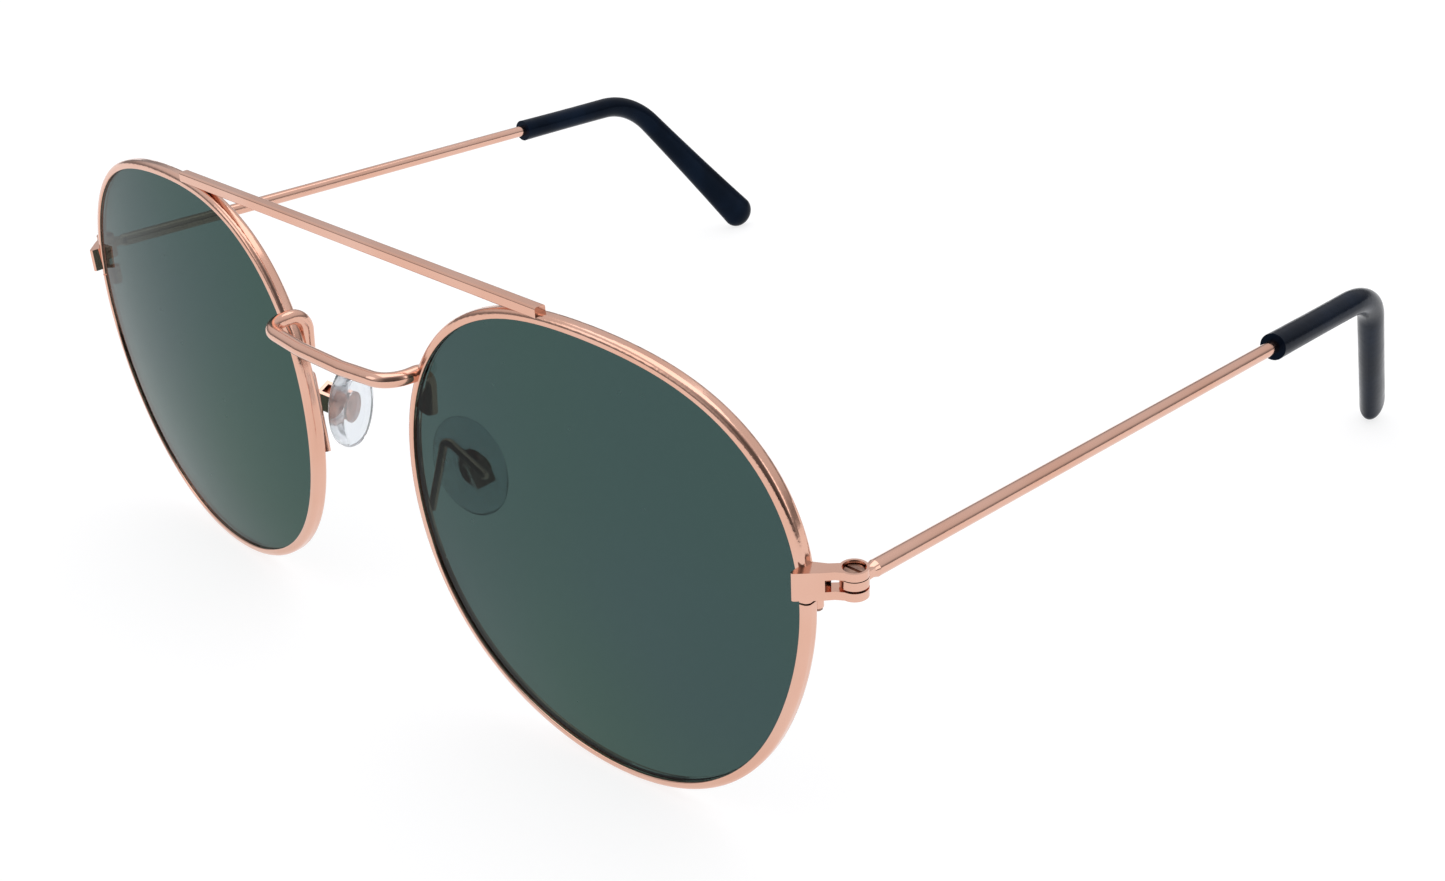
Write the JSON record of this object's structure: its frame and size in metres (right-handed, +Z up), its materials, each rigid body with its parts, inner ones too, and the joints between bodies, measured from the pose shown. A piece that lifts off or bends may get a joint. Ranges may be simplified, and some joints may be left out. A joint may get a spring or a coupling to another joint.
{
  "type": "sunglasses",
  "caption": "Round thin-metal sunglasses with a straight top bar, a low wire bridge, dark green lenses, clear nose pads and folding wire temples with black tips.",
  "frame": {"origin": "centre of the footprint, at table level, with the temples open", "axes": "+X to the wearer's left, +Y back towards the ears, +Z up"},
  "size_m": [0.1348, 0.1306, 0.0513],
  "materials": {
    "rose_gold": "polished rose-gold plating",
    "screw": "small plated screws",
    "lens": "dark green-grey tinted lens",
    "tip": "glossy black moulded tip",
    "pad": "clear soft plastic"
  },
  "bodies": {
    "front": {"top_bar": "rose_gold", "bridge": "rose_gold", "left_rim": "rose_gold", "left_lens": "lens", "left_endpiece": "rose_gold", "left_upper_closing_barrel": "rose_gold", "left_lower_closing_barrel": "rose_gold", "left_closing_screw": "screw", "left_hinge_screw": "screw", "left_pad_arm": "rose_gold", "left_pad_box": "rose_gold", "left_pad_screw": "screw", "right_rim": "rose_gold", "right_lens": "lens", "right_endpiece": "rose_gold", "right_upper_closing_barrel": "rose_gold", "right_lower_closing_barrel": "rose_gold", "right_closing_screw": "screw", "right_hinge_screw": "screw", "right_pad_arm": "rose_gold", "right_pad_box": "rose_gold", "right_pad_screw": "screw"},
    "left_temple": {"left_temple_leaf": "rose_gold", "left_temple_wire": "rose_gold", "left_temple_tip": "tip"},
    "left_pad": {"left_nose_pad": "pad", "left_pad_lug": "rose_gold"},
    "right_temple": {"right_temple_leaf": "rose_gold", "right_temple_wire": "rose_gold", "right_temple_tip": "tip"},
    "right_pad": {"right_nose_pad": "pad", "right_pad_lug": "rose_gold"}
  },
  "joints": [
    {"name": "left_temple_fold", "type": "hinge", "parent": "front", "child": "left_temple", "pos_m": [0.064, -0.05424, 0.03259], "axis": [0, 0, 1], "range_deg": [0, 87]},
    {"name": "right_temple_fold", "type": "hinge", "parent": "front", "child": "right_temple", "pos_m": [-0.064, -0.05424, 0.03259], "axis": [0, 0, -1], "range_deg": [0, 82]},
    {"name": "left_pad_rock", "type": "hinge", "parent": "front", "child": "left_pad", "pos_m": [0.01316, -0.05539, 0.02612], "axis": [-0.2807, -0.9304, -0.2357], "range_deg": [-8, 8]},
    {"name": "right_pad_rock", "type": "hinge", "parent": "front", "child": "right_pad", "pos_m": [-0.01316, -0.05539, 0.02612], "axis": [0.2807, -0.9304, -0.2357], "range_deg": [-8, 8]}
  ]
}
